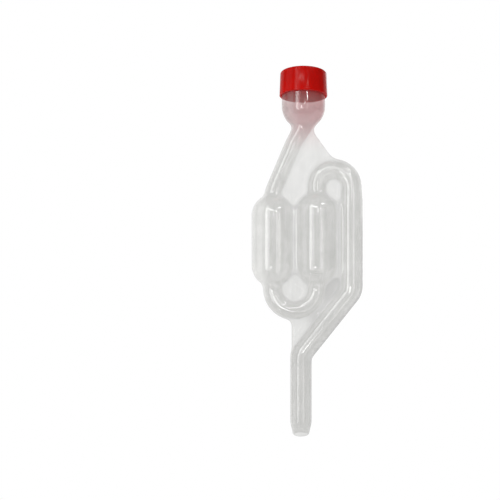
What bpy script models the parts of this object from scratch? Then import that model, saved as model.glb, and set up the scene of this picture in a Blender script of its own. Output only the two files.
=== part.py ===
"""S bend airlock for a fermenter: one blown plastic tube with two bubble chambers, and a slip-on cap.

Metres, +Z up, the tube's plane is XZ and its front faces -Y.
The origin is on the stem's axis, at the stem's open lower end.
"""

import math

import bmesh
import bpy
from mathutils import Vector

# Wall and web of the blown tube.
WALL = 0.0008
WEB_THICK = 0.0018

# Stem that pushes into the bung, and the sloping tube above it.
STEM_R = 0.0048
STEM_TIP_R = 0.0038
STEM_BORE_R = 0.0029
STEM_TAPER_Z = 0.0054
LOWER_BEND_Z = 0.0363
LOWER_BEND_RADIUS = 0.0052
SLOPE_R = 0.0050
UPPER_BEND_Z = LOWER_BEND_Z + 0.02815
UPPER_BEND_RADIUS = 0.0060

# The two bubble chambers stand side by side, the right one a little taller, with the riser close beside it.
CHAMBER_R = 0.0096
CHAMBER_LENGTH = 0.0225
RIGHT_CHAMBER_EXTRA = 0.0013
CHAMBER_GAP = 0.0004
RISER_R = 0.00525
RISER_GAP = 0.0005
RIGHT_X = 0.0071
LEFT_X = RIGHT_X - 2 * CHAMBER_R - CHAMBER_GAP
RISER_X = RIGHT_X + CHAMBER_R + RISER_GAP + RISER_R

# The U-bend under the chambers and the one over the top, from the riser to the right chamber.
LOW_U_R = 0.0046
LOW_U_Z = LOWER_BEND_Z + 0.0294
CHAMBER_LOW_Z = LOW_U_Z + CHAMBER_R + 0.0006
CHAMBER_TOP_Z = CHAMBER_LOW_Z + CHAMBER_LENGTH
TOP_U_R = 0.0048
RIGHT_TOP_Z = CHAMBER_TOP_Z + RIGHT_CHAMBER_EXTRA
TOP_U_Z = RIGHT_TOP_Z + CHAMBER_R + 0.00195

# The cup, and the slanting neck that opens into its round bottom.
CUP_X = 0.0011
CUP_R = 0.0097
CUP_DOME_Z = CHAMBER_TOP_Z + 0.0488
NECK_R = 0.0040
NECK_MOUTH_R = 0.0050
NECK_BEND_RADIUS = 0.0044
NECK_FOOT_Z = CHAMBER_TOP_Z + math.sqrt(CHAMBER_R**2 - NECK_R**2) + 0.0012
NECK_SLANT = math.atan2(CUP_X - LEFT_X, CUP_DOME_Z - 0.0067 - NECK_FOOT_Z)

# Cap: its skirt slips over the cup's finish and its top rests over the rim.
CLEARANCE = 0.0003
CAP_WALL = 0.0006
CAP_RIM_WALL = 0.0007
CAP_TOP_THICK = 0.0008
CAP_EDGE = 0.0008
CAP_HEIGHT = 0.0105
CUP_FINISH_R = CUP_R - 0.00025
CUP_FINISH_Z = CUP_DOME_Z + 0.0057
CAP_INNER_TOP_R = CUP_FINISH_R + CLEARANCE
CAP_INNER_RIM_R = CUP_R + CLEARANCE + 0.00005
CAP_TOP_R = CAP_INNER_TOP_R + CAP_WALL
CAP_RIM_R = CAP_INNER_RIM_R + CAP_RIM_WALL
CAP_RIM_Z = CUP_FINISH_Z - 0.0010
CAP_TOP_Z = CAP_RIM_Z + CAP_HEIGHT
CAP_UNDER_Z = CAP_TOP_Z - CAP_TOP_THICK
CUP_RIM_Z = CAP_UNDER_Z - CLEARANCE
VENT_R = 0.0006
VENT_CIRCLE_R = 0.0040
VENT_COUNT = 4

OUTER_SIDES = 20
INNER_SIDES = 16
CAP_SIDES = 48


class Line:
    """The tube's centre line: a list of stations, each a point in XZ, a heading and a radius.

    A heading is the angle from +Z towards +X, in radians. Every radius is less than asked by inset.
    """

    def __init__(self, inset):
        self.inset = inset
        self.stations = []

    def add(self, x, z, heading, r):
        self.stations.append((x, z, heading, r - self.inset))

    def arc(self, corner, before, after, bend_radius, r_before, r_after, steps):
        """A bend round the corner of two straight runs."""
        turn = after - before
        reach = bend_radius * math.tan(abs(turn) / 2)
        side = math.copysign(1, turn)
        start_x = corner[0] - reach * math.sin(before)
        start_z = corner[1] - reach * math.cos(before)
        centre_x = start_x + side * bend_radius * math.cos(before)
        centre_z = start_z - side * bend_radius * math.sin(before)
        for i in range(steps + 1):
            share = i / steps
            heading = before + turn * share
            x = centre_x - side * bend_radius * math.cos(heading)
            z = centre_z + side * bend_radius * math.sin(heading)
            self.add(x, z, heading, r_before + (r_after - r_before) * share)

    def half_turn(self, x_from, x_to, z, before, turn, r, steps):
        """A U-bend between two upright legs."""
        bend_radius = abs(x_from - x_to) / 2
        centre_x = (x_from + x_to) / 2
        side = math.copysign(1, turn)
        for i in range(steps + 1):
            heading = before + turn * i / steps
            x = centre_x - side * bend_radius * math.cos(heading)
            self.add(x, z + side * bend_radius * math.sin(heading), heading, r)

    def dome(self, x, z, heading, rise, ball_r, tube_r, widening, steps):
        """A half ball between a tube and a wide chamber. rise is 1 for a ball that closes upwards."""
        ball = ball_r - self.inset
        narrow = math.asin((tube_r - self.inset) / ball)
        for i in range(steps + 1):
            share = i / steps if widening else 1 - i / steps
            angle = narrow + (math.pi / 2 - narrow) * share
            self.add(x, z + rise * ball * math.cos(angle), heading, ball * math.sin(angle) + self.inset)


def tube_line(inset):
    """Stations from the stem's open end to the cup's mouth."""
    slope = math.atan2(RISER_X, UPPER_BEND_Z - LOWER_BEND_Z)
    line = Line(inset)
    line.add(0, 0, 0, STEM_TIP_R - 0.00045)
    line.add(0, 0.0004, 0, STEM_TIP_R - 0.0001)
    line.add(0, 0.0011, 0, STEM_TIP_R)
    line.add(0, STEM_TAPER_Z, 0, STEM_R)
    line.arc((0, LOWER_BEND_Z), 0, slope, LOWER_BEND_RADIUS, STEM_R, SLOPE_R, 5)
    line.arc((RISER_X, UPPER_BEND_Z), slope, 0, UPPER_BEND_RADIUS, SLOPE_R, RISER_R, 5)
    line.add(RISER_X, TOP_U_Z - 0.006, 0, RISER_R)
    line.half_turn(RISER_X, RIGHT_X, TOP_U_Z, 0, -math.pi, TOP_U_R, 14)
    down = -math.pi
    line.dome(RIGHT_X, RIGHT_TOP_Z, down, 1, CHAMBER_R, TOP_U_R, True, 6)
    line.dome(RIGHT_X, CHAMBER_LOW_Z, down, -1, CHAMBER_R, LOW_U_R, False, 6)
    line.half_turn(RIGHT_X, LEFT_X, LOW_U_Z, down, math.pi, LOW_U_R, 14)
    line.dome(LEFT_X, CHAMBER_LOW_Z, 0, -1, CHAMBER_R, LOW_U_R, True, 6)
    line.dome(LEFT_X, CHAMBER_TOP_Z, 0, 1, CHAMBER_R, NECK_R, False, 6)
    line.arc((LEFT_X, NECK_FOOT_Z), 0, NECK_SLANT, NECK_BEND_RADIUS, NECK_R, NECK_R, 3)
    neck_to_cup(line)
    line.dome(CUP_X, CUP_DOME_Z, 0, -1, CUP_R, NECK_MOUTH_R + 0.0010, True, 6)
    line.add(CUP_X, CUP_FINISH_Z - 0.0004, 0, CUP_R)
    line.add(CUP_X, CUP_FINISH_Z, 0, CUP_FINISH_R)
    line.add(CUP_X, CUP_RIM_Z, 0, CUP_FINISH_R)
    return line.stations


def neck_to_cup(line):
    """The neck's upper end, which widens and swings upright into the cup's round bottom."""
    start_z = NECK_FOOT_Z + 0.0209
    start = Vector((LEFT_X + (start_z - NECK_FOOT_Z) * math.tan(NECK_SLANT), start_z))
    end = Vector((CUP_X - 0.0002, CUP_DOME_Z - 0.0085))
    end_heading = math.radians(14)
    handle_in = start + 0.0036 * Vector((math.sin(NECK_SLANT), math.cos(NECK_SLANT)))
    handle_out = end - 0.0036 * Vector((math.sin(end_heading), math.cos(end_heading)))
    for i in range(7):
        t = i / 6
        u = 1 - t
        point = u**3 * start + 3 * u * u * t * handle_in + 3 * u * t * t * handle_out + t**3 * end
        along = (
            3 * u * u * (handle_in - start)
            + 6 * u * t * (handle_out - handle_in)
            + 3 * t * t * (end - handle_out)
        )
        heading = math.atan2(along.x, along.y)
        line.add(point.x, point.y, heading, NECK_R + (NECK_MOUTH_R - NECK_R) * t**3)


def web_outline():
    """Corners of the flat web. Most run along the tube's centre line, where the tube hides them."""
    low_u_x = (RIGHT_X + LEFT_X) / 2
    low_u_radius = (RIGHT_X - LEFT_X) / 2
    top_u_x = (RISER_X + RIGHT_X) / 2
    top_u_radius = (RISER_X - RIGHT_X) / 2
    crown_z = TOP_U_Z + top_u_radius + TOP_U_R
    corners = [(LEFT_X, CHAMBER_TOP_Z - 0.0084), (LEFT_X, NECK_FOOT_Z), (CUP_X - 0.0010, CUP_DOME_Z - 0.0087)]
    # The free slanting edge, from under the cup to a small hollow on the top U-bend.
    corners += [(CUP_X + 0.0010, CUP_DOME_Z - 0.0082), (CUP_X + 0.0045, CUP_DOME_Z - 0.0112)]
    for left, up in ((0.0022, 0.0025), (0.0015, 0.0017), (0.0005, 0.0009), (-0.0009, 0.0002)):
        corners.append((top_u_x - left, crown_z + up))
    for step in range(1, 6):
        angle = math.radians(90 - 18 * step)
        corners.append((top_u_x + top_u_radius * math.cos(angle), TOP_U_Z + top_u_radius * math.sin(angle)))
    corners += [(RISER_X, UPPER_BEND_Z), (0, LOWER_BEND_Z)]
    # The free upright edge, from the stem's shoulder to the U-bend under the chambers.
    edge_x = 0.0006 - STEM_R
    low_u_floor_z = LOW_U_Z - low_u_radius - LOW_U_R
    corners += [(edge_x + 0.0012, LOWER_BEND_Z + 0.0005), (edge_x, LOWER_BEND_Z + 0.0017)]
    corners.append((edge_x, low_u_floor_z + 0.0007))
    for step in range(1, 5):
        angle = math.radians(-90 - 18 * step)
        corners.append((low_u_x + low_u_radius * math.cos(angle), LOW_U_Z + low_u_radius * math.sin(angle)))
    corners.append((LEFT_X, LOW_U_Z))
    return corners


def mesh_object(name, mesh, collection):
    bmesh.ops.recalc_face_normals(mesh, faces=mesh.faces)
    data = bpy.data.meshes.new(name)
    mesh.to_mesh(data)
    mesh.free()
    made = bpy.data.objects.new(name, data)
    collection.objects.link(made)
    return made


def skin(name, stations, sides, collection):
    """A closed skin through rings, one at each station, with a flat face at both ends."""
    mesh = bmesh.new()
    rings = []
    for x, z, heading, r in stations:
        across = Vector((math.cos(heading), 0, -math.sin(heading)))
        ring = []
        for i in range(sides):
            angle = 2 * math.pi * i / sides
            spot = Vector((x, 0, z)) + r * (math.cos(angle) * across + math.sin(angle) * Vector((0, 1, 0)))
            ring.append(mesh.verts.new(spot))
        rings.append(ring)
    for low, high in zip(rings, rings[1:]):
        for i in range(sides):
            j = (i + 1) % sides
            mesh.faces.new((low[i], low[j], high[j], high[i]))
    mesh.faces.new(rings[0])
    mesh.faces.new(rings[-1])
    return mesh_object(name, mesh, collection)


def plate(name, corners, thick, collection):
    """A flat plate of this outline, centred on the XZ plane."""
    mesh = bmesh.new()
    front = [mesh.verts.new((x, -thick / 2, z)) for x, z in corners]
    back = [mesh.verts.new((x, thick / 2, z)) for x, z in corners]
    mesh.faces.new(front)
    mesh.faces.new(back)
    for i in range(len(corners)):
        j = (i + 1) % len(corners)
        mesh.faces.new((front[i], front[j], back[j], back[i]))
    return mesh_object(name, mesh, collection)


def join(target, other, operation):
    modifier = target.modifiers.new(operation.lower(), "BOOLEAN")
    modifier.operation = operation
    modifier.solver = "EXACT"
    modifier.object = other


def helper(made):
    made.hide_render = True
    made.display_type = "WIRE"
    return made


def plastic(name, colour, roughness):
    made = bpy.data.materials.new(name)
    made.use_nodes = True
    shader = made.node_tree.nodes["Principled BSDF"]
    shader.inputs["Base Color"].default_value = (*colour, 1)
    shader.inputs["Roughness"].default_value = roughness
    made.diffuse_color = (*colour, 1)
    return made


def make_body(collection, helpers):
    body = skin("body", tube_line(0), OUTER_SIDES, collection)
    join(body, helper(plate("web", web_outline(), WEB_THICK, helpers)), "UNION")
    bore = [(0, -0.0010, 0, STEM_BORE_R), (0, 0.0012, 0, STEM_BORE_R)]
    mouth = [(CUP_X, CUP_RIM_Z + 0.001, 0, CUP_FINISH_R - WALL)]
    passage = bore + tube_line(WALL)[3:] + mouth
    join(body, helper(skin("passage", passage, INNER_SIDES, helpers)), "DIFFERENCE")
    body.data.materials.append(plastic("natural_plastic", (0.80, 0.79, 0.77), 0.25))
    return body


def make_cap(collection, helpers):
    bevel = CAP_EDGE * (1 - math.cos(math.pi / 4))
    profile = [(CAP_INNER_TOP_R, CAP_UNDER_Z), (CAP_INNER_RIM_R, CAP_RIM_Z), (CAP_RIM_R, CAP_RIM_Z)]
    profile += [(CAP_TOP_R, CAP_TOP_Z - CAP_EDGE), (CAP_TOP_R - bevel, CAP_TOP_Z - bevel)]
    profile += [(CAP_TOP_R - CAP_EDGE, CAP_TOP_Z)]
    cap = skin("cap", [(CUP_X, z, 0, r) for r, z in profile], CAP_SIDES, collection)
    for i in range(VENT_COUNT):
        angle = 2 * math.pi * (i + 0.5) / VENT_COUNT
        x = CUP_X + VENT_CIRCLE_R * math.cos(angle)
        y = VENT_CIRCLE_R * math.sin(angle)
        stations = [(x, CAP_UNDER_Z - 0.001, 0, VENT_R), (x, CAP_TOP_Z + 0.001, 0, VENT_R)]
        hole = skin("vent", stations, 12, helpers)
        hole.location.y = y
        join(cap, helper(hole), "DIFFERENCE")
    cap.data.materials.append(plastic("red_plastic", (0.55, 0.010, 0.008), 0.35))
    return cap


def main():
    for old in list(bpy.data.objects):
        bpy.data.objects.remove(old)
    collection = bpy.data.collections.new("s_bend_airlock")
    helpers = bpy.data.collections.new("helpers")
    bpy.context.scene.collection.children.link(collection)
    bpy.context.scene.collection.children.link(helpers)
    make_body(collection, helpers)
    make_cap(collection, helpers)


main()
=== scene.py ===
import math

import bmesh
import bpy
from mathutils import Matrix, Vector


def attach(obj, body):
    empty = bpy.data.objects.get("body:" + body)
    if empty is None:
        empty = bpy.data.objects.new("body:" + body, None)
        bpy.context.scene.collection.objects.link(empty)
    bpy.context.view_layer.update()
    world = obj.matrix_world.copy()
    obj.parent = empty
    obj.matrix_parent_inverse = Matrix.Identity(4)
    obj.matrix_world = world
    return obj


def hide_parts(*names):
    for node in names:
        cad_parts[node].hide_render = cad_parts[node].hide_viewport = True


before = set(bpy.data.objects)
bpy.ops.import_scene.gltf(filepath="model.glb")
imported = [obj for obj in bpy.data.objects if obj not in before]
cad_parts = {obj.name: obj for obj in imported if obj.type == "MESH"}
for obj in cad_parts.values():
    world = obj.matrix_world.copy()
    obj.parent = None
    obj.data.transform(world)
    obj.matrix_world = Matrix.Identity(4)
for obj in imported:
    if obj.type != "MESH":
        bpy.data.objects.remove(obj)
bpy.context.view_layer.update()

# The studio: one sheet of glowing white paper that runs from the floor up behind the airlock. Its glow
# fades towards the front and the air there is dim, so that the red cap stays deep. What lies past the
# paper looks as white as the paper does.
FLOOR_Z = -0.25
SWEEP_BACK_Y = 0.90
SWEEP_RADIUS = 0.40
SWEEP_HALF_WIDTH = 2.0
SWEEP_FRONT_Y = -0.45
SWEEP_RISE = 1.2
SWEEP_STEPS = 24
FULL_GLOW_Y = -0.05
PAPER_GLOW = 1.0
AIR_LIGHT = 0.14

sweep = bmesh.new()
edge = bmesh.ops.create_vert(sweep, co=(-SWEEP_HALF_WIDTH, SWEEP_FRONT_Y, FLOOR_Z))["vert"]
edge += bmesh.ops.create_vert(sweep, co=(-SWEEP_HALF_WIDTH, SWEEP_BACK_Y - SWEEP_RADIUS, FLOOR_Z))["vert"]
sweep.edges.new(edge)
bend = bmesh.ops.spin(
    sweep,
    geom=[edge[1]],
    cent=(-SWEEP_HALF_WIDTH, SWEEP_BACK_Y - SWEEP_RADIUS, FLOOR_Z + SWEEP_RADIUS),
    axis=(1, 0, 0),
    angle=math.pi / 2,
    steps=SWEEP_STEPS,
)
last = [part for part in bend["geom_last"] if isinstance(part, bmesh.types.BMVert)]
raised = bmesh.ops.extrude_vert_indiv(sweep, verts=last)["verts"]
bmesh.ops.translate(sweep, verts=raised, vec=(0, 0, SWEEP_RISE))
across = bmesh.ops.extrude_edge_only(sweep, edges=sweep.edges[:])
moved = [part for part in across["geom"] if isinstance(part, bmesh.types.BMVert)]
bmesh.ops.translate(sweep, verts=moved, vec=(2 * SWEEP_HALF_WIDTH, 0, 0))
bmesh.ops.recalc_face_normals(sweep, faces=sweep.faces)
sweep_data = bpy.data.meshes.new("studio_sweep")
sweep.to_mesh(sweep_data)
sweep.free()
sweep_data.shade_smooth()
studio_sweep = bpy.data.objects.new("studio_sweep", sweep_data)
bpy.context.scene.collection.objects.link(studio_sweep)
paper = bpy.data.materials.new("white_paper")
paper.use_nodes = True
sheet = paper.node_tree
sheet.nodes.remove(sheet.nodes["Principled BSDF"])
spot = sheet.nodes.new("ShaderNodeTexCoord")
depth = sheet.nodes.new("ShaderNodeSeparateXYZ")
fade = sheet.nodes.new("ShaderNodeMapRange")
fade.interpolation_type = "SMOOTHSTEP"
sight = sheet.nodes.new("ShaderNodeLightPath")
brighter = sheet.nodes.new("ShaderNodeMath")
brighter.operation = "MAXIMUM"
glowing = sheet.nodes.new("ShaderNodeEmission")
sheet.links.new(spot.outputs["Object"], depth.inputs[0])
sheet.links.new(depth.outputs["Y"], fade.inputs["Value"])
fade.inputs["From Min"].default_value = SWEEP_FRONT_Y
fade.inputs["From Max"].default_value = FULL_GLOW_Y
fade.inputs["To Min"].default_value = AIR_LIGHT
fade.inputs["To Max"].default_value = PAPER_GLOW
sheet.links.new(fade.outputs[0], brighter.inputs[0])
sheet.links.new(sight.outputs["Is Camera Ray"], brighter.inputs[1])
sheet.links.new(brighter.outputs[0], glowing.inputs["Strength"])
sheet.links.new(glowing.outputs[0], sheet.nodes["Material Output"].inputs["Surface"])
sweep_data.materials.append(paper)

world = bpy.data.worlds.new("studio_air")
bpy.context.scene.world = world
world.use_nodes = True
air = world.node_tree
dim = air.nodes["Background"]
dim.inputs["Color"].default_value = (1, 1, 1, 1)
dim.inputs["Strength"].default_value = AIR_LIGHT
seen = air.nodes.new("ShaderNodeBackground")
seen.inputs["Color"].default_value = (1, 1, 1, 1)
seen.inputs["Strength"].default_value = PAPER_GLOW
ray = air.nodes.new("ShaderNodeLightPath")
either = air.nodes.new("ShaderNodeMixShader")
air.links.new(ray.outputs["Is Camera Ray"], either.inputs["Fac"])
air.links.new(dim.outputs[0], either.inputs[1])
air.links.new(seen.outputs[0], either.inputs[2])
air.links.new(either.outputs[0], air.nodes["World Output"].inputs["Surface"])
bpy.context.scene.view_settings.view_transform = "Standard"
# A look through the airlock from its side meets a dozen clear walls, and each is one bounce.
bpy.context.scene.cycles.transparent_max_bounces = 32

# The lamps: a tall softbox on the left with a dimmer one beside it, a wide dim one at the left side, a
# narrow one on the right and one behind. Small ones near the camera draw the light along the U-bends and
# down the cap.
AIM = Vector((0.005, 0, 0.080))
LAMP_DISTANCE = 0.70


def softbox(name, azimuth, elevation, width, height, radiance):
    """A rectangular lamp facing the airlock. Azimuth 0 is straight in front, and grows to the right."""
    turn = math.radians(azimuth)
    rise = math.radians(elevation)
    out = Vector((math.sin(turn) * math.cos(rise), -math.cos(turn) * math.cos(rise), math.sin(rise)))
    lamp = bpy.data.lights.new(name, "AREA")
    lamp.shape = "RECTANGLE"
    lamp.size = width
    lamp.size_y = height
    lamp.energy = radiance * math.pi * width * height
    placed = bpy.data.objects.new(name, lamp)
    bpy.context.scene.collection.objects.link(placed)
    placed.location = AIM + LAMP_DISTANCE * out
    placed.rotation_euler = out.to_track_quat("Z", "Y").to_euler()


softbox("left_softbox", -34, 10, 0.15, 0.90, 5.5)
softbox("left_fill", -22, 10, 0.16, 0.85, 1.6)
softbox("side_light", -75, 5, 0.45, 0.90, 0.8)
softbox("right_strip", 22, 8, 0.06, 0.80, 1.7)
softbox("high_lamp", 44, 42, 0.20, 0.05, 22.0)
softbox("low_lamp", -8, -9.5, 0.13, 0.09, 11.0)
softbox("near_bar", 6, 13.5, 0.05, 0.13, 6.5)
softbox("cap_lamp", 19.6, 21.4, 0.045, 0.05, 24.0)
softbox("high_bar", -9, 28.5, 0.30, 0.06, 11.0)
softbox("back_strip", 152, 12, 0.06, 0.60, 5.0)

# The camera is level with the middle of the airlock and square to its flat web. Its shift leaves white
# paper on the left.
CAMERA_X, CAMERA_Z, CAMERA_DISTANCE = 0.0011, 0.0802, 0.252
LENS, SENSOR_WIDTH, SHIFT_X, SHIFT_Y = 40.4, 36, -0.1068, 0.012
camera_data = bpy.data.cameras.new("camera")
camera_data.lens = LENS
camera_data.sensor_width = SENSOR_WIDTH
camera_data.shift_x = SHIFT_X
camera_data.shift_y = SHIFT_Y
camera_data.clip_start = 0.01
camera_data.clip_end = 10
camera = bpy.data.objects.new("camera", camera_data)
bpy.context.scene.collection.objects.link(camera)
camera.location = (CAMERA_X, -CAMERA_DISTANCE, CAMERA_Z)
camera.rotation_euler = (math.pi / 2, 0, 0)
bpy.context.scene.camera = camera

# The blown tube: natural, milky plastic, one skin from the stem's open end to the cup. The mould pinches
# it shut between the passages, which leaves the flat web and its soft hollows. The passage inside is open
# all the way.
WALL = 0.0008
STEM_R, STEM_TIP_R, STEM_BORE_R, STEM_TAPER_Z = 0.0048, 0.0038, 0.0029, 0.0054
LOWER_BEND_Z, LOWER_BEND_RADIUS = 0.0363, 0.0052
SLOPE_R = 0.0050
UPPER_BEND_Z, UPPER_BEND_RADIUS = LOWER_BEND_Z + 0.02815, 0.0060
CHAMBER_R = 0.0096
RISER_R = 0.00525
CHAMBER_GAP, RISER_GAP = 0.0004, 0.0005
RIGHT_X = 0.0071
LEFT_X = RIGHT_X - 2 * CHAMBER_R - CHAMBER_GAP
RISER_X = RIGHT_X + CHAMBER_R + RISER_GAP + RISER_R
LOW_U_R, LOW_U_Z = 0.0046, LOWER_BEND_Z + 0.0294
CHAMBER_STRAIGHT, RIGHT_EXTRA = 0.0225, 0.0013
CHAMBER_LOW_Z = LOW_U_Z + CHAMBER_R + 0.0006
CHAMBER_TOP_Z = CHAMBER_LOW_Z + CHAMBER_STRAIGHT
RIGHT_TOP_Z = CHAMBER_TOP_Z + RIGHT_EXTRA
TOP_U_R, TOP_U_Z = 0.0048, RIGHT_TOP_Z + CHAMBER_R + 0.00195
CUP_X, CUP_R, CUP_DOME_Z = 0.0011, 0.0097, CHAMBER_TOP_Z + 0.0488
CUP_FINISH_R, CUP_FINISH_Z = CUP_R - 0.00025, CUP_DOME_Z + 0.0057
CUP_RIM_Z = CUP_FINISH_Z + 0.0084
NECK_R, NECK_MOUTH_R, NECK_BEND_RADIUS = 0.0040, 0.0050, 0.0044
NECK_FOOT_Z = CHAMBER_TOP_Z + math.sqrt(CHAMBER_R**2 - NECK_R**2) + 0.0012
NECK_SLANT = math.atan2(CUP_X - LEFT_X, CUP_DOME_Z - 0.0067 - NECK_FOOT_Z)
NECK_STRAIGHT, NECK_EASE, NECK_END_SLANT = 0.0209, 0.0036, math.radians(14)
NECK_END_X, NECK_END_Z = CUP_X - 0.0002, CUP_DOME_Z - 0.0085
BEND_STEPS, U_STEPS, DOME_STEPS, FOOT_STEPS, NECK_STEPS = 16, 48, 20, 10, 24


class Hose:
    """A round skin grown ring by ring. Headings turn from +Z towards +X. Every radius is less by inset."""

    def __init__(self, sides, inset, x, z, r):
        self.inset = inset
        self.mesh = bmesh.new()
        self.place = self.placed(x, z, 0, r)
        bmesh.ops.create_circle(self.mesh, cap_ends=True, segments=sides, radius=1, matrix=self.place)
        self.ring = self.mesh.edges[:]

    def placed(self, x, z, heading, r):
        turned = Matrix.Translation((x, 0, z)) @ Matrix.Rotation(heading, 4, "Y")
        return turned @ Matrix.Scale(r - self.inset, 4)

    def to(self, x, z, heading, r):
        """Grows the skin to one more ring."""
        grown = bmesh.ops.extrude_edge_only(self.mesh, edges=self.ring)["geom"]
        place = self.placed(x, z, heading, r)
        verts = [part for part in grown if isinstance(part, bmesh.types.BMVert)]
        bmesh.ops.transform(self.mesh, verts=verts, matrix=place @ self.place.inverted())
        fresh = set(verts)
        edges = [part for part in grown if isinstance(part, bmesh.types.BMEdge)]
        self.ring = [one for one in edges if set(one.verts) <= fresh]
        self.place = place

    def bend(self, corner, before, after, bend_radius, r_before, r_after, steps):
        """Rounds the corner where two straight tubes meet."""
        side = math.copysign(1, after - before)
        reach = bend_radius * math.tan(abs(after - before) / 2)
        start = Vector(corner) - reach * Vector((math.sin(before), math.cos(before)))
        centre = start + side * bend_radius * Vector((math.cos(before), -math.sin(before)))
        for i in range(steps + 1):
            heading = before + (after - before) * i / steps
            spot = centre - side * bend_radius * Vector((math.cos(heading), -math.sin(heading)))
            self.to(spot.x, spot.y, heading, r_before + (r_after - r_before) * i / steps)

    def u_bend(self, x_from, x_to, z, before, turn, r, steps):
        """Turns the tube back on itself, from one upright to the other."""
        radius = abs(x_from - x_to) / 2
        side = math.copysign(1, turn)
        for i in range(steps + 1):
            heading = before + turn * i / steps
            x = (x_from + x_to) / 2 - side * radius * math.cos(heading)
            self.to(x, z + side * radius * math.sin(heading), heading, r)

    def dome(self, x, z, heading, rise, ball_r, tube_r, widening, steps):
        """The round end of a chamber, between the tube and its full width. Its centre is at z."""
        ball = ball_r - self.inset
        narrow = math.asin((tube_r - self.inset) / ball)
        for i in range(steps + 1):
            share = i / steps if widening else 1 - i / steps
            angle = narrow + (math.pi / 2 - narrow) * share
            self.to(x, z + rise * ball * math.cos(angle), heading, ball * math.sin(angle) + self.inset)

    def neck_top(self, steps):
        """The neck turns upright and widens where it meets the cup."""
        start_z = NECK_FOOT_Z + NECK_STRAIGHT
        start = Vector((LEFT_X + (start_z - NECK_FOOT_Z) * math.tan(NECK_SLANT), start_z))
        end = Vector((NECK_END_X, NECK_END_Z))
        pull_in = start + NECK_EASE * Vector((math.sin(NECK_SLANT), math.cos(NECK_SLANT)))
        pull_out = end - NECK_EASE * Vector((math.sin(NECK_END_SLANT), math.cos(NECK_END_SLANT)))
        for i in range(steps + 1):
            t = i / steps
            u = 1 - t
            spot = u**3 * start + 3 * u * u * t * pull_in + 3 * u * t * t * pull_out + t**3 * end
            along = u * u * (pull_in - start) + 2 * u * t * (pull_out - pull_in) + t * t * (end - pull_out)
            heading = math.atan2(along.x, along.y)
            self.to(spot.x, spot.y, heading, NECK_R + (NECK_MOUTH_R - NECK_R) * t**3)

    def whole_run(self):
        """From the stem's taper to the cup's rim."""
        slope = math.atan2(RISER_X, UPPER_BEND_Z - LOWER_BEND_Z)
        down = -math.pi
        self.to(0, STEM_TAPER_Z, 0, STEM_R)
        self.bend((0, LOWER_BEND_Z), 0, slope, LOWER_BEND_RADIUS, STEM_R, SLOPE_R, BEND_STEPS)
        self.bend((RISER_X, UPPER_BEND_Z), slope, 0, UPPER_BEND_RADIUS, SLOPE_R, RISER_R, BEND_STEPS)
        self.to(RISER_X, TOP_U_Z - 0.006, 0, RISER_R)
        self.u_bend(RISER_X, RIGHT_X, TOP_U_Z, 0, -math.pi, TOP_U_R, U_STEPS)
        self.dome(RIGHT_X, RIGHT_TOP_Z, down, 1, CHAMBER_R, TOP_U_R, True, DOME_STEPS)
        self.dome(RIGHT_X, CHAMBER_LOW_Z, down, -1, CHAMBER_R, LOW_U_R, False, DOME_STEPS)
        self.u_bend(RIGHT_X, LEFT_X, LOW_U_Z, down, math.pi, LOW_U_R, U_STEPS)
        self.dome(LEFT_X, CHAMBER_LOW_Z, 0, -1, CHAMBER_R, LOW_U_R, True, DOME_STEPS)
        self.dome(LEFT_X, CHAMBER_TOP_Z, 0, 1, CHAMBER_R, NECK_R, False, DOME_STEPS)
        self.bend((LEFT_X, NECK_FOOT_Z), 0, NECK_SLANT, NECK_BEND_RADIUS, NECK_R, NECK_R, FOOT_STEPS)
        self.neck_top(NECK_STEPS)
        self.dome(CUP_X, CUP_DOME_Z, 0, -1, CUP_R, NECK_MOUTH_R + 0.0010, True, DOME_STEPS)
        self.to(CUP_X, CUP_FINISH_Z - 0.0006, 0, CUP_R)
        self.to(CUP_X, CUP_FINISH_Z - 0.0004, 0, CUP_R)
        self.to(CUP_X, CUP_FINISH_Z, 0, CUP_FINISH_R)
        self.to(CUP_X, CUP_FINISH_Z + 0.0002, 0, CUP_FINISH_R)

    def close(self):
        """Shuts the last ring."""
        bmesh.ops.edgeloop_fill(self.mesh, edges=self.ring)
        bmesh.ops.recalc_face_normals(self.mesh, faces=self.mesh.faces)


def finished(name, mesh):
    """The piece's object, at the origin, with its place in its mesh."""
    data = bpy.data.meshes.new(name)
    mesh.to_mesh(data)
    mesh.free()
    made = bpy.data.objects.new(name, data)
    bpy.context.scene.collection.objects.link(made)
    return made


def applied(made):
    """Takes the live modifiers into the mesh."""
    bpy.context.view_layer.update()
    graph = bpy.context.evaluated_depsgraph_get()
    data = bpy.data.meshes.new_from_object(made.evaluated_get(graph))
    made.modifiers.clear()
    made.data = data


SKIN_SIDES = 64
TIP_ROUNDING = 0.00045
skin = Hose(SKIN_SIDES, 0, 0, 0, STEM_TIP_R - TIP_ROUNDING)
skin.to(0, 0.0004, 0, STEM_TIP_R - 0.0001)
skin.to(0, 0.0011, 0, STEM_TIP_R)
skin.whole_run()
skin.to(CUP_X, CUP_RIM_Z, 0, CUP_FINISH_R)
skin.close()

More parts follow.
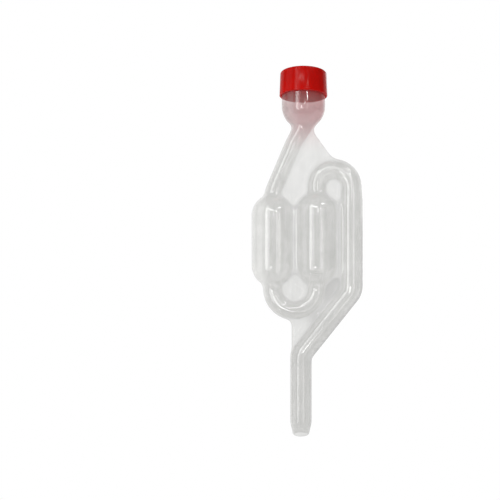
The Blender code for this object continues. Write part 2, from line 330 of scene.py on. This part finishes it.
# The web is a thin plate of the same plastic, where the mould pinches the skin shut. Its hidden corners
# run along the passages, so that only its two free edges show.
WEB_THICK = 0.0018
U_CORNER_TURN = 18
low_u_x, low_u_radius = (RIGHT_X + LEFT_X) / 2, (RIGHT_X - LEFT_X) / 2
top_u_x, top_u_radius = (RISER_X + RIGHT_X) / 2, (RISER_X - RIGHT_X) / 2
crown_z = TOP_U_Z + top_u_radius + TOP_U_R
corners = [(LEFT_X, CHAMBER_TOP_Z - 0.0084), (LEFT_X, NECK_FOOT_Z), (CUP_X - 0.0010, CUP_DOME_Z - 0.0087)]
corners += [(CUP_X + 0.0010, CUP_DOME_Z - 0.0082), (CUP_X + 0.0045, CUP_DOME_Z - 0.0112)]
corners += [(top_u_x - 0.0022, crown_z + 0.0025), (top_u_x - 0.0015, crown_z + 0.0017)]
corners += [(top_u_x - 0.0005, crown_z + 0.0009), (top_u_x + 0.0009, crown_z + 0.0002)]
for step in range(1, 6):
    angle = math.radians(90 - U_CORNER_TURN * step)
    corners.append((top_u_x + top_u_radius * math.cos(angle), TOP_U_Z + top_u_radius * math.sin(angle)))
corners += [(RISER_X, UPPER_BEND_Z), (0, LOWER_BEND_Z)]
corners += [(0.0018 - STEM_R, LOWER_BEND_Z + 0.0005), (0.0006 - STEM_R, LOWER_BEND_Z + 0.0017)]
corners.append((0.0006 - STEM_R, LOW_U_Z - low_u_radius - LOW_U_R + 0.0007))
for step in range(1, 5):
    angle = math.radians(-90 - U_CORNER_TURN * step)
    corners.append((low_u_x + low_u_radius * math.cos(angle), LOW_U_Z + low_u_radius * math.sin(angle)))
corners.append((LEFT_X, LOW_U_Z))
web = [skin.mesh.verts.new((x, -WEB_THICK / 2, z)) for x, z in corners]
face = skin.mesh.faces.new(web)
grown = bmesh.ops.extrude_face_region(skin.mesh, geom=[face], use_keep_orig=True)["geom"]
far = [part for part in grown if isinstance(part, bmesh.types.BMVert)]
bmesh.ops.translate(skin.mesh, verts=far, vec=(0, WEB_THICK, 0))
bmesh.ops.recalc_face_normals(skin.mesh, faces=skin.mesh.faces)
airlock_body = finished("airlock_body", skin.mesh)

# Tubes and web are blown as one skin, with a soft hollow where they meet. They are made one mesh and
# swelled, then made one again and shrunk back by as much.
HOLLOW_R = 0.0015
GRAIN = 0.0005
SOFTENING, SOFT_ROUNDS = 0.5, 10
for stage, swell in (("tubes_and_web", HOLLOW_R), ("one_skin", -HOLLOW_R)):
    remesh = airlock_body.modifiers.new(stage, "REMESH")
    remesh.mode = "VOXEL"
    remesh.voxel_size = GRAIN
    push = airlock_body.modifiers.new(stage + "_push", "DISPLACE")
    push.strength = swell
    push.mid_level = 0
soft = airlock_body.modifiers.new("soft", "SMOOTH")
soft.factor = SOFTENING
soft.iterations = SOFT_ROUNDS
applied(airlock_body)

# The passage is open from the stem's tip to the cup's rim. It is cut out of the skin, past both of its
# ends, and its wall keeps a material slot of its own.
BORE_SIDES = 48
CUT_PAST_TIP, CUT_PAST_RIM = 0.0010, 0.002
bore = Hose(BORE_SIDES, WALL, 0, -CUT_PAST_TIP, STEM_BORE_R + WALL)
bore.to(0, 0.0012, 0, STEM_BORE_R + WALL)
bore.whole_run()
bore.to(CUP_X, CUP_RIM_Z + CUT_PAST_RIM, 0, CUP_FINISH_R)
bore.close()
passage = finished("passage", bore.mesh)
for slot_name in ("outside", "inside"):
    airlock_body.data.materials.append(bpy.data.materials.new(slot_name))
    passage.data.materials.append(bpy.data.materials[slot_name])
for one in passage.data.polygons:
    one.material_index = 1
hollow = airlock_body.modifiers.new("hollow", "BOOLEAN")
hollow.operation = "DIFFERENCE"
hollow.solver = "EXACT"
hollow.object = passage
hollow.material_mode = "INDEX"
applied(airlock_body)
bpy.data.objects.remove(passage)
airlock_body.data.shade_smooth()
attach(airlock_body, "body")
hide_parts("body")


class Socket:
    """A node's output, with the operators that the plastics' patterns use."""

    def __init__(self, shader, socket):
        self.shader = shader
        self.socket = socket

    def math(self, operation, first, second):
        return self.shader.node("ShaderNodeMath", {"operation": operation}, {0: first, 1: second})

    def __add__(self, other):
        return self.math("ADD", self, other)

    def __radd__(self, other):
        return self.math("ADD", other, self)

    def __sub__(self, other):
        return self.math("SUBTRACT", self, other)

    def __rsub__(self, other):
        return self.math("SUBTRACT", other, self)

    def __mul__(self, other):
        return self.math("MULTIPLY", self, other)

    def __rmul__(self, other):
        return self.math("MULTIPLY", other, self)

    def __pow__(self, other):
        return self.math("POWER", self, other)


class Plastic:
    """A material's node tree."""

    def __init__(self, name):
        self.material = bpy.data.materials.new(name)
        self.material.use_nodes = True
        self.tree = self.material.node_tree
        self.tree.nodes.remove(self.tree.nodes["Principled BSDF"])
        self.out = self.tree.nodes["Material Output"]
        self.place = self.node("ShaderNodeTexCoord", {}, {}, "Object")

    def node(self, kind, settings, values, output=0):
        """A node of this kind, with its settings first and then the values or links of its inputs."""
        made = self.tree.nodes.new(kind)
        for name, value in settings.items():
            setattr(made, name, value)
        for name, value in values.items():
            if isinstance(value, Socket):
                self.tree.links.new(value.socket, made.inputs[name])
            else:
                made.inputs[name].default_value = value
        return Socket(self, made.outputs[output])

    def noise(self, pitch, stretch=1.0, detail=2.0):
        """A pattern from 0 to 1 with spots this far apart, drawn out along Z by stretch."""
        place = self.node("ShaderNodeMapping", {}, {"Vector": self.place, "Scale": (1, 1, 1 / stretch)})
        values = {"Vector": place, "Scale": 1 / pitch, "Detail": detail}
        return self.node("ShaderNodeTexNoise", {}, values, "Fac")

    def between(self, factor, first, second):
        """A mix of two shaders."""
        return self.node("ShaderNodeMixShader", {}, {0: factor, 1: first, 2: second})

    def along(self, axis):
        """How far along this axis a point is."""
        return self.node("ShaderNodeSeparateXYZ", {}, {0: self.place}, axis)

    def ease(self, value, start, end):
        """A smooth step from 0 at start to 1 at end."""
        limits = {"Value": value, "From Min": start, "From Max": end, "To Min": 0, "To Max": 1}
        return self.node("ShaderNodeMapRange", {"interpolation_type": "SMOOTHSTEP"}, limits)

    def finish(self, surface):
        """Makes this shader the material's surface."""
        self.tree.links.new(surface.socket, self.out.inputs["Surface"])


# Natural plastic: each face of the wall passes most of the light, scatters some, and mirrors a little,
# more at a slant. Its haze drifts from place to place, with faint lines where the hot tube was drawn down
# into the mould.
MILK = (0.42, 0.418, 0.410, 1)
WALL_HAZE, STEM_HAZE, RIM_HAZE = 0.29, 0.35, 0.16
TOP_WEB_HAZE, LOW_WEB_HAZE, SLOPE_WEB_HAZE = 0.18, 0.215, 0.38
THIN_SIDE_X, THIN_HAZE, CUP_HAZE, UNDER_CAP_HAZE = LEFT_X - 0.0035, 0.125, 0.03, -0.21
WALL_MIRROR, WEB_MIRROR, RIM_MIRROR = 0.045, 0.008, 0.12
HAZE_SLANT_POWER, MIRROR_SLANT_POWER = 4.0, 5.0
WEB_HAZE_FROM_Y, WEB_HAZE_TO_Y = 0.0030, 0.0016
WEB_SHINE_FROM_Y, WEB_SHINE_TO_Y = 0.0041, 0.0029
INSIDE_HAZE, INSIDE_MIRROR = 0.02, 0.012
CLOUD_PITCH, CLOUD_DRAW, CLOUD_HAZE = 0.006, 1.6, 0.12
LINE_PITCH, LINE_DRAW, LINE_HAZE = 0.0009, 30.0, 0.05
WAVE_DEPTH, WAVE_STRENGTH, LINE_WAVE = 0.0002, 0.08, 0.1
GLOSS_ROUGHNESS, GLOW_SHARE = 0.10, 0.45
# The pink here is painted light: the red glow that the cap throws into the cup, painted into the clear
# colour of the cup's wall.
PLAIN, PAINTED_CAP_GLOW, FAINT_PAINTED_GLOW = (0.995, 0.995, 0.99, 1), (0.94, 0.82, 0.825, 1), 0.45


def in_web(made, tube_y, web_y):
    """1 on the flat web, up to web_y from the middle, and 0 on the tubes, from tube_y on."""
    depth = made.along("Y")
    return made.ease(depth.math("ABSOLUTE", depth, 0), tube_y, web_y)


def outer_haze(made, slant):
    """The web is clearest at the top and densest beside the slope. The left chamber's side is thin."""
    across, up = made.along("X"), made.along("Z")
    low = made.ease(up, CHAMBER_TOP_Z + 0.003, CHAMBER_TOP_Z - 0.008)
    dense = made.ease(across, 0.0, 0.008)
    stem = made.ease(up, UPPER_BEND_Z + 0.006, LOWER_BEND_Z + 0.006)
    thin = made.ease(across, THIN_SIDE_X + 0.0015, THIN_SIDE_X - 0.0015)
    low_web = LOW_WEB_HAZE + (SLOPE_WEB_HAZE - LOW_WEB_HAZE) * dense
    web = TOP_WEB_HAZE + (low_web - TOP_WEB_HAZE) * low
    cup = CUP_HAZE * made.ease(up, CUP_DOME_Z - 0.018, CUP_DOME_Z - 0.006)
    under_cap = UNDER_CAP_HAZE * made.ease(up, CUP_DOME_Z, CUP_FINISH_Z)
    wall = WALL_HAZE + (STEM_HAZE - WALL_HAZE) * stem + cup + under_cap
    both = wall + (web - wall) * in_web(made, WEB_HAZE_FROM_Y, WEB_HAZE_TO_Y)
    return both - THIN_HAZE * thin + RIM_HAZE * slant**HAZE_SLANT_POWER


def clear(made):
    """What passes straight through. The cup carries a painted pink glow for the red light its cap throws
    into it, more towards the cap and fainter on the cup's left side, and it stays when the cap is lifted.
    """
    plain = made.node("ShaderNodeBsdfTransparent", {}, {"Color": PLAIN})
    painted_glow = made.node("ShaderNodeBsdfTransparent", {}, {"Color": PAINTED_CAP_GLOW})
    rising = made.ease(made.along("Z"), CUP_DOME_Z - 0.022, CUP_DOME_Z + 0.002)
    deeper = FAINT_PAINTED_GLOW + (1 - FAINT_PAINTED_GLOW) * made.ease(made.along("X"), CUP_X - CUP_R, CUP_X)
    return made.between(rising * deeper, plain, painted_glow)


def outer_mirror(made, slant):
    """The web's soft hollows shine less than the tubes."""
    shine = WALL_MIRROR + (WEB_MIRROR - WALL_MIRROR) * in_web(made, WEB_SHINE_FROM_Y, WEB_SHINE_TO_Y)
    return shine + RIM_MIRROR * slant**MIRROR_SLANT_POWER


def milky_plastic(name, haze_of, mirror_of):
    """haze_of gives how much of the light a face scatters, and mirror_of how much it mirrors."""
    made = Plastic(name)
    clouds = made.noise(CLOUD_PITCH, CLOUD_DRAW)
    lines = made.noise(LINE_PITCH, LINE_DRAW, 1.0)
    slant = made.node("ShaderNodeLayerWeight", {}, {"Blend": 0.5}, "Facing")
    waves = {"Strength": WAVE_STRENGTH, "Distance": WAVE_DEPTH, "Height": clouds + lines * LINE_WAVE}
    bump = made.node("ShaderNodeBump", {}, waves)
    lit = made.node("ShaderNodeBsdfDiffuse", {}, {"Color": MILK, "Normal": bump})
    glow = made.node("ShaderNodeBsdfTranslucent", {}, {"Color": MILK, "Normal": bump})
    shine = {"Color": (1, 1, 1, 1), "Roughness": GLOSS_ROUGHNESS, "Normal": bump}
    gloss = made.node("ShaderNodeBsdfGlossy", {}, shine)
    haze = haze_of(made, slant) + (clouds - 0.5) * CLOUD_HAZE + (lines - 0.5) * LINE_HAZE
    milk = made.between(haze, clear(made), made.between(GLOW_SHARE, lit, glow))
    made.finish(made.between(mirror_of(made, slant), milk, gloss))
    return made.material


airlock_body.data.materials[0] = milky_plastic("natural_plastic", outer_haze, outer_mirror)
airlock_body.data.materials[1] = milky_plastic(
    "natural_plastic_inside", lambda made, slant: INSIDE_HAZE, lambda made, slant: INSIDE_MIRROR
)

# The dust cap: soft red plastic, moulded in one piece, that slips over the cup's mouth. Its top rests
# over the rim and has four vents round a small sunk mark where the plastic came in.
CAP_RIM_Z = CUP_FINISH_Z - 0.0010
CAP_TOP_Z = CAP_RIM_Z + 0.0105
CAP_UNDER_Z = CAP_TOP_Z - 0.0008
CAP_INNER_TOP_R, CAP_INNER_RIM_R = CUP_FINISH_R + 0.0003, CUP_R + 0.00035
CAP_TOP_R, CAP_RIM_R = CAP_INNER_TOP_R + 0.0006, CAP_INNER_RIM_R + 0.0007
MARK_R, MARK_DEPTH, PIP_R, PIP_DEPTH = 0.0019, 0.00025, 0.0005, 0.00008
CAP_STEPS, ROUNDING_STEPS, SHARP_FROM = 160, 5, math.radians(35)
WELD_REACH, SAME_PLACE = 0.000005, 0.000001
turned = bmesh.new()
outline = [(0, CAP_UNDER_Z), (CAP_INNER_TOP_R, CAP_UNDER_Z), (CAP_INNER_RIM_R, CAP_RIM_Z)]
outline += [(CAP_RIM_R, CAP_RIM_Z), (CAP_TOP_R, CAP_TOP_Z), (MARK_R, CAP_TOP_Z)]
outline += [(MARK_R - 0.0001, CAP_TOP_Z - MARK_DEPTH), (PIP_R, CAP_TOP_Z - MARK_DEPTH)]
outline += [(PIP_R - 0.0001, CAP_TOP_Z - PIP_DEPTH), (0, CAP_TOP_Z - PIP_DEPTH)]
chain = [bmesh.ops.create_vert(turned, co=(CUP_X + r, 0, z))["vert"][0] for r, z in outline]
for first, second in zip(chain, chain[1:]):
    turned.edges.new((first, second))
bmesh.ops.spin(
    turned,
    geom=turned.verts[:] + turned.edges[:],
    cent=(CUP_X, 0, 0),
    axis=(0, 0, 1),
    angle=2 * math.pi,
    steps=CAP_STEPS,
    use_merge=True,
)
bmesh.ops.remove_doubles(turned, verts=turned.verts, dist=WELD_REACH)
bmesh.ops.recalc_face_normals(turned, faces=turned.faces)


def on_circle(vert, r, z):
    """Whether a corner is on the cap's circle of this radius and height."""
    around = math.hypot(vert.co.x - CUP_X, vert.co.y)
    return abs(vert.co.z - z) < SAME_PLACE and abs(around - r) < SAME_PLACE


def circle_edges(mesh, r, z):
    """The edges of the circle of this radius and height."""
    return [one for one in mesh.edges if all(on_circle(vert, r, z) for vert in one.verts)]


for r, z, rounding in (
    (CAP_TOP_R, CAP_TOP_Z, 0.0008),
    (CAP_RIM_R, CAP_RIM_Z, 0.00022),
    (CAP_INNER_RIM_R, CAP_RIM_Z, 0.00022),
    (CAP_INNER_TOP_R, CAP_UNDER_Z, 0.0004),
    (MARK_R, CAP_TOP_Z, 0.0001),
):
    bmesh.ops.bevel(
        turned,
        geom=circle_edges(turned, r, z),
        offset=rounding,
        segments=ROUNDING_STEPS,
        profile=0.5,
        affect="EDGES",
        material=-1,
    )
dust_cap = finished("dust_cap", turned)
VENT_R, VENT_CIRCLE_R, VENT_COUNT, VENT_SIDES = 0.0006, 0.0040, 4, 32
DRILL_LENGTH, DRILL_Z = 0.003, CAP_TOP_Z - 0.0004
drill = bmesh.new()
for i in range(VENT_COUNT):
    angle = 2 * math.pi * (i + 0.5) / VENT_COUNT
    spot = (CUP_X + VENT_CIRCLE_R * math.cos(angle), VENT_CIRCLE_R * math.sin(angle), DRILL_Z)
    bmesh.ops.create_cone(
        drill,
        cap_ends=True,
        segments=VENT_SIDES,
        radius1=VENT_R,
        radius2=VENT_R,
        depth=DRILL_LENGTH,
        matrix=Matrix.Translation(spot),
    )
vents = finished("vents", drill)
holes = dust_cap.modifiers.new("holes", "BOOLEAN")
holes.operation = "DIFFERENCE"
holes.solver = "EXACT"
holes.object = vents
applied(dust_cap)
bpy.data.objects.remove(vents)
dust_cap.data.shade_smooth()
dust_cap.data.set_sharp_from_angle(angle=SHARP_FROM)
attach(dust_cap, "cap")
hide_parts("cap")

# The cap's red plastic is coloured right through and thin enough to glow. It has a faint swirl from the
# moulding and a fine dull grain.
DEEP_RED, BRIGHT_RED = (0.545, 0.009, 0.006, 1), (0.63, 0.011, 0.007, 1)
GLOWING_RED, THROUGH_SHARE = (0.89, 0.012, 0.010, 1), 0.50
SWIRL_PITCH, GRAIN_PITCH, GRAIN_DEPTH, GRAIN_STRENGTH = 0.004, 0.00035, 0.00005, 0.12
CAP_ROUGHNESS, SWIRL_ROUGHNESS, CAP_SPECULAR = 0.12, 0.06, 0.165
red = Plastic("red_plastic")
swirl = red.noise(SWIRL_PITCH, 1.0, 3.0)
grain = red.noise(GRAIN_PITCH, 1.0, 2.0)
reds = {0: swirl, 6: DEEP_RED, 7: BRIGHT_RED}
deep = red.node("ShaderNodeMix", {"data_type": "RGBA"}, reds, 2)
dulling = {"Strength": GRAIN_STRENGTH, "Distance": GRAIN_DEPTH, "Height": grain}
dull = red.node("ShaderNodeBump", {}, dulling)
roughness = CAP_ROUGHNESS + SWIRL_ROUGHNESS * swirl
surface = {"Base Color": deep, "Roughness": roughness, "Specular IOR Level": CAP_SPECULAR, "Normal": dull}
shell = red.node("ShaderNodeBsdfPrincipled", {}, surface)
through = red.node("ShaderNodeBsdfTranslucent", {}, {"Color": GLOWING_RED})
red.finish(red.between(THROUGH_SHARE, shell, through))
dust_cap.data.materials.clear()
dust_cap.data.materials.append(red.material)
